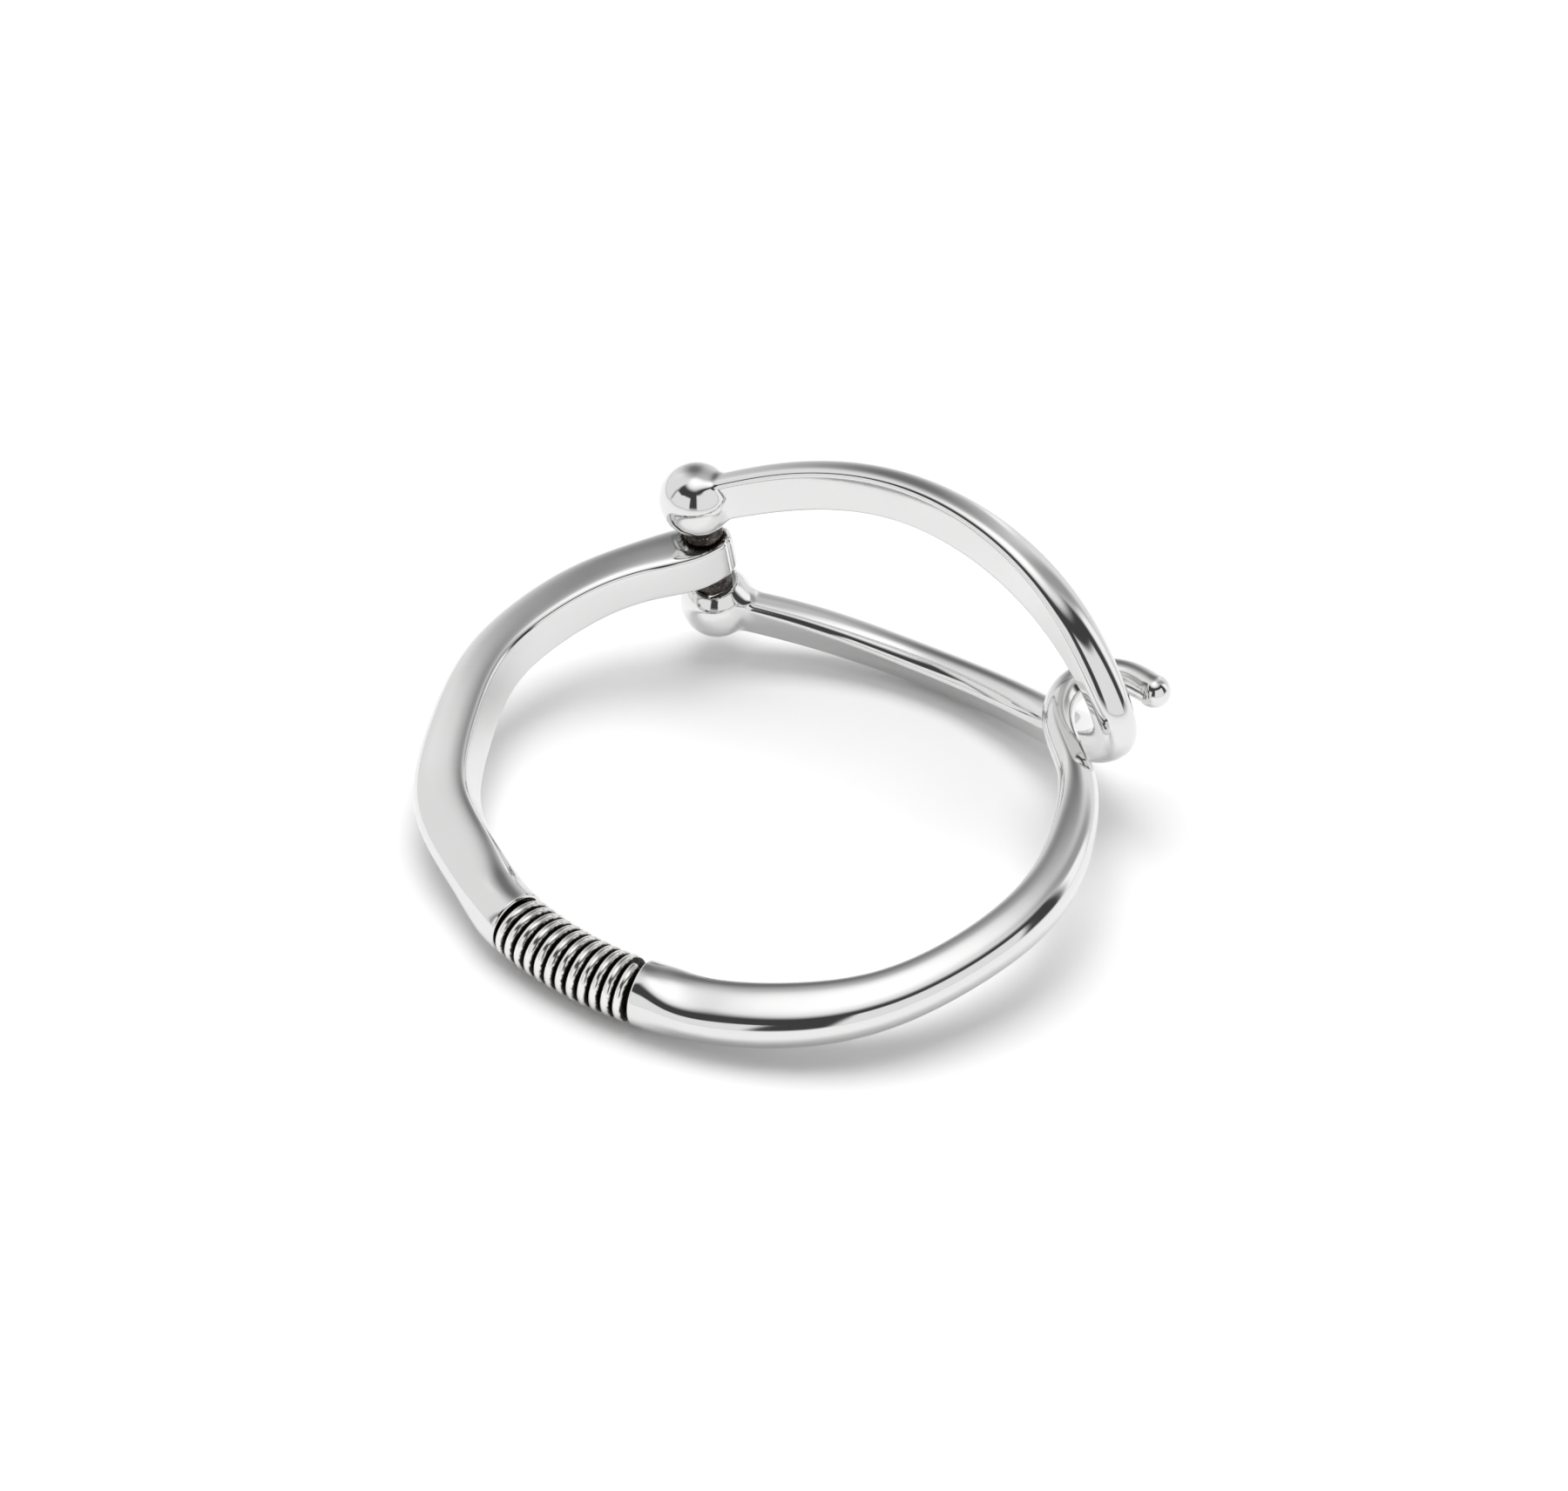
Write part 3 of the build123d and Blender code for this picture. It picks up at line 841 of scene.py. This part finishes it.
class BuildCollars(bpy.types.Operator):
    """Builds the two blackened collars between the ball knuckles and the tongue"""

    bl_idname = "bangle.collars"
    bl_label = "Hinge collars"

    def execute(self, context):
        material = blackened()
        for side, name in ((1, "upper_collar"), (-1, "lower_collar")):
            bm = bmesh.new()
            rows = [  # radius, and distance from the ball's rim
                (PIN_RADIUS, 0.0),
                (1.60, 0.0),
                (1.78, 0.10),
                (1.86, 0.40),
                (1.76, 0.70),
                (1.72, 1.00),
                (1.82, 1.35),
                (1.92, 1.65),
                (1.86, 1.95),
                (1.66, COLLAR_HEIGHT),
                (PIN_RADIUS, COLLAR_HEIGHT),
            ]
            verts = [bm.verts.new((HINGE.x + r, HINGE.y, side * (RIM_Z - z))) for r, z in rows]
            edges = [bm.edges.new(pair) for pair in zip(verts, verts[1:] + verts[:1])]
            bmesh.ops.spin(
                bm,
                geom=verts + edges,
                cent=HINGE,
                axis=(0, 0, 1),
                angle=tau,
                steps=COLLAR_STEPS,
                use_merge=True,
                use_duplicate=False,
            )
            bmesh.ops.remove_doubles(bm, verts=bm.verts, dist=1e-4)
            bmesh.ops.subdivide_edges(bm, edges=bm.edges, cuts=1, use_grid_fill=True)
            for vert in bm.verts:
                flat = vert.co - HINGE
                radius = flat.xy.length
                if radius > 1.5:  # the outside only
                    wobble = noise.noise(vert.co * 2.6) * 0.5 + noise.noise(vert.co * 6.0) * 0.3
                    grown = min(radius * (1 + 0.10 * wobble), COLLAR_RADIUS)
                    vert.co.x = HINGE.x + flat.x * grown / radius
                    vert.co.y = HINGE.y + flat.y * grown / radius
            finish_piece(bm, name + "_ring", "loop", material, (name,))
        return {"FINISHED"}


def blackened():
    """Blackened silver: dark, granular, with a few worn bright grains."""
    s = settings()
    material, tree, shader = new_material("blackened silver")
    place = object_coordinates(tree)
    grain = noise_node(tree, place, 3800.0, 4.0, 0.65)
    patch = noise_node(tree, place, 900.0, 2.0)
    colour = mixed(tree, ranged(tree, patch, 0.0, 1.0), s.tarnish_and_shade, (0.10, 0.085, 0.078))
    colour = mixed(tree, ranged(tree, grain, 0.0, 1.0, 0.58, 0.72), colour, (0.42, 0.40, 0.39))
    tree.links.new(colour, shader.inputs["Base Color"])
    shader.inputs["Metallic"].default_value = 0.85
    tree.links.new(ranged(tree, grain, 0.55, 0.30), shader.inputs["Roughness"])
    normal = bumped(tree, grain, 0.7, 0.00006)
    tree.links.new(normal, shader.inputs["Normal"])
    return material


class BuildHiddenRods(bpy.types.Operator):
    """Gives the core rod and the hinge pin their finish"""

    bl_idname = "bangle.hidden_rods"
    bl_label = "Core rod and pin"

    def execute(self, context):
        rod = silver_material("drawn silver rod", (0.10, 0.085, 0.075), 0.35)
        for node in ("core_rod", "hinge_pin"):
            piece = frame["nodes"][node]
            piece.data.materials.clear()
            piece.data.materials.append(rod)
        return {"FINISHED"}


# Soft ellipses of light and shade on the tent: azimuth from -Y towards +X, elevation and turn in
# degrees, half sizes, brightness and softness of the edge. Each is laid over the ones before it.
TENT_WALL = 0.90
TENT_SHADES = (
    (-140, 40, 0, 0.58, 0.95, 0.20, 0.9),  # open room behind
    (150, 52, 7, 0.40, 0.80, 0.40, 0.8),
    (124, 14, 175, 0.43, 0.60, 1.13, 0.3),
    (-168, 22, 13, 0.10, 0.50, 1.13, 0.9),
    (-100, 30, 10, 0.14, 0.40, 0.95, 0.9),
    (-30, 86, 0, 0.42, 0.42, 1.32, 0.8),  # softbox overhead
)

# Cards with straight sides: first and last azimuth, lowest and highest elevation, brightness and
# softness of the edges.
TENT_CARDS = (
    (-50, 122, 2, 61, 0.06, 14),  # dark room in front
    (-46, 14, -40, 33, 0.92, 5),  # left window
    (37, 98, -40, 43, 0.92, 6),  # right window
)


def math_node(tree, operation, first, second=None):
    """Output of a maths node on sockets or numbers."""
    node = tree.nodes.new("ShaderNodeMath")
    node.operation = operation
    for socket, value in zip(node.inputs, (first, second)):
        if isinstance(value, bpy.types.NodeSocket):
            tree.links.new(value, socket)
        elif value is not None:
            socket.default_value = value
    return node.outputs[0]


def within(tree, angle, lowest, highest, softness):
    """1 between two angles and 0 outside, with soft edges."""
    away = math_node(tree, "ABSOLUTE", math_node(tree, "SUBTRACT", angle, (lowest + highest) / 2))
    half = (highest - lowest) / 2
    edge = tree.nodes.new("ShaderNodeMapRange")
    edge.interpolation_type = "SMOOTHSTEP"
    edge.inputs["From Min"].default_value = half + softness / 2
    edge.inputs["From Max"].default_value = half - softness / 2
    tree.links.new(away, edge.inputs["Value"])
    return edge.outputs["Result"]


def screen_frame(azimuth, elevation, turn):
    """Direction of a screen's middle, and the turn that lays its sides along x and y."""
    a, e, t = radians(azimuth), radians(elevation), radians(turn)
    middle = Vector((sin(a) * cos(e), -cos(a) * cos(e), sin(e)))
    level = Vector((cos(a), sin(a), 0))
    rise = level.cross(middle) * -1
    side = level * cos(t) + rise * sin(t)
    height = rise * cos(t) - level * sin(t)
    return middle, Matrix((side, height, middle)).transposed()


def studio_world():
    """White light tent with bright and dark screens; the camera itself sees it plain."""
    world = bpy.data.worlds.new("soft studio")
    world.use_nodes = True
    tree = world.node_tree
    direction = tree.nodes.new("ShaderNodeTexCoord").outputs["Generated"]
    tent = (TENT_WALL,) * 3
    for azimuth, elevation, turn, width, height, brightness, softness in TENT_SHADES:
        middle, turned = screen_frame(azimuth, elevation, turn)
        mapping = tree.nodes.new("ShaderNodeMapping")
        mapping.vector_type = "TEXTURE"
        mapping.inputs["Location"].default_value = middle
        mapping.inputs["Rotation"].default_value = turned.to_euler("XYZ")
        mapping.inputs["Scale"].default_value = (width, height, 1)
        tree.links.new(direction, mapping.inputs["Vector"])
        spot = tree.nodes.new("ShaderNodeTexGradient")
        spot.gradient_type = "SPHERICAL"
        tree.links.new(mapping.outputs["Vector"], spot.inputs["Vector"])
        edge = tree.nodes.new("ShaderNodeMapRange")
        edge.interpolation_type = "SMOOTHSTEP"
        edge.inputs["From Max"].default_value = softness
        tree.links.new(spot.outputs["Fac"], edge.inputs["Value"])
        tent = mixed(tree, edge.outputs["Result"], tent, (brightness,) * 3)
    split = tree.nodes.new("ShaderNodeSeparateXYZ")
    tree.links.new(direction, split.inputs[0])
    x, y, z = split.outputs
    ahead = math_node(tree, "MULTIPLY", y, -1.0)
    azimuth = math_node(tree, "DEGREES", math_node(tree, "ARCTAN2", x, ahead))
    elevation = math_node(tree, "DEGREES", math_node(tree, "ARCSINE", z))
    for first, last, lowest, highest, brightness, softness in TENT_CARDS:
        across = within(tree, azimuth, first, last, softness)
        height = within(tree, elevation, lowest, highest, softness)
        tent = mixed(tree, math_node(tree, "MULTIPLY", across, height), tent, (brightness,) * 3)
    seen = tree.nodes.new("ShaderNodeLightPath").outputs["Is Camera Ray"]
    tent = mixed(tree, seen, tent, (1, 1, 1))
    tree.links.new(tent, tree.nodes["Background"].inputs["Color"])
    return world


class BuildStudio(bpy.types.Operator):
    """Builds the plain floor, the soft light and the camera"""

    bl_idname = "bangle.studio"
    bl_label = "Studio"

    def execute(self, context):
        scene = bpy.context.scene
        scene.view_settings.view_transform = "Standard"
        bm = bmesh.new()
        bmesh.ops.create_grid(bm, x_segments=1, y_segments=1, size=FLOOR_HALF)
        bmesh.ops.translate(bm, verts=bm.verts, vec=(0, 0, CAD_BOX[0].z - FLOOR_DROP))
        mesh = bpy.data.meshes.new("floor")
        bm.to_mesh(mesh)
        bm.free()
        floor = bpy.data.objects.new("floor", mesh)
        scene.collection.objects.link(floor)
        material, tree, shader = new_material("plain floor")
        shader.inputs["Base Color"].default_value = (*settings().floor, 1)
        shader.inputs["Roughness"].default_value = 0.9
        shader.inputs["Specular IOR Level"].default_value = 0.1
        mesh.materials.append(material)

        scene.world = studio_world()

        lamp_data = bpy.data.lights.new("overhead softbox", "AREA")
        lamp_data.shape = "DISK"
        lamp_data.size = LAMP_DIAMETER
        lamp_data.energy = LAMP_POWER
        lamp = bpy.data.objects.new("overhead softbox", lamp_data)
        lamp.location = LAMP_PLACE
        lamp.rotation_mode = "QUATERNION"
        lamp.rotation_quaternion = lamp.location.to_track_quat("Z", "Y")
        lamp.visible_glossy = False
        lamp.visible_camera = False
        scene.collection.objects.link(lamp)

        camera_data = bpy.data.cameras.new("camera")
        camera = bpy.data.objects.new("camera", camera_data)
        scene.collection.objects.link(camera)
        azimuth, elevation = radians(CAMERA_AZIMUTH), radians(CAMERA_ELEVATION)
        right = Vector((cos(azimuth), sin(azimuth), 0))
        ahead = Vector((-sin(azimuth) * cos(elevation), cos(azimuth) * cos(elevation), -sin(elevation)))
        up = right.cross(ahead)
        hoop_centre = LAY_DOWN @ Vector((0, 0, 0))
        offset = ahead * CAMERA_DISTANCE + right * CAMERA_RIGHT + up * CAMERA_UP
        camera.location = hoop_centre - offset * MM
        camera.rotation_mode = "QUATERNION"
        camera.rotation_quaternion = ahead.to_track_quat("-Z", "Y")
        camera_data.sensor_width = SENSOR_WIDTH
        camera_data.lens = FOCAL_LENGTH
        camera_data.clip_start, camera_data.clip_end = CLIPPING
        scene.camera = camera
        return {"FINISHED"}


class BanglePanel(bpy.types.Panel):
    """Lists the bangle's pieces and settings"""

    bl_idname = "VIEW3D_PT_bangle"
    bl_label = "Hook bangle"
    bl_space_type = "VIEW_3D"
    bl_region_type = "UI"
    bl_category = "Bangle"

    def draw(self, context):
        for name in BangleSettings.__annotations__:
            self.layout.prop(settings(), name)
        for builder in BUILDERS:
            self.layout.operator(builder.bl_idname)


BUILDERS = (
    BuildTongueHalf,
    BuildHookHalf,
    BuildWireWrap,
    BuildLoop,
    BuildCollars,
    BuildHiddenRods,
    BuildStudio,
)
CLASSES = (BangleSettings, *BUILDERS, BanglePanel)


def register():
    for cls in CLASSES:
        bpy.utils.register_class(cls)
    bpy.types.Scene.bangle = PointerProperty(type=BangleSettings)


def unregister():
    del bpy.types.Scene.bangle
    for cls in reversed(CLASSES):
        bpy.utils.unregister_class(cls)


def main():
    register()
    bpy.ops.bangle.tongue_half()
    bpy.ops.bangle.hook_half()
    bpy.ops.bangle.wire_wrap()
    bpy.ops.bangle.loop()
    bpy.ops.bangle.collars()
    bpy.ops.bangle.hidden_rods()
    bpy.ops.bangle.studio()


if __name__ == "__main__":
    main()
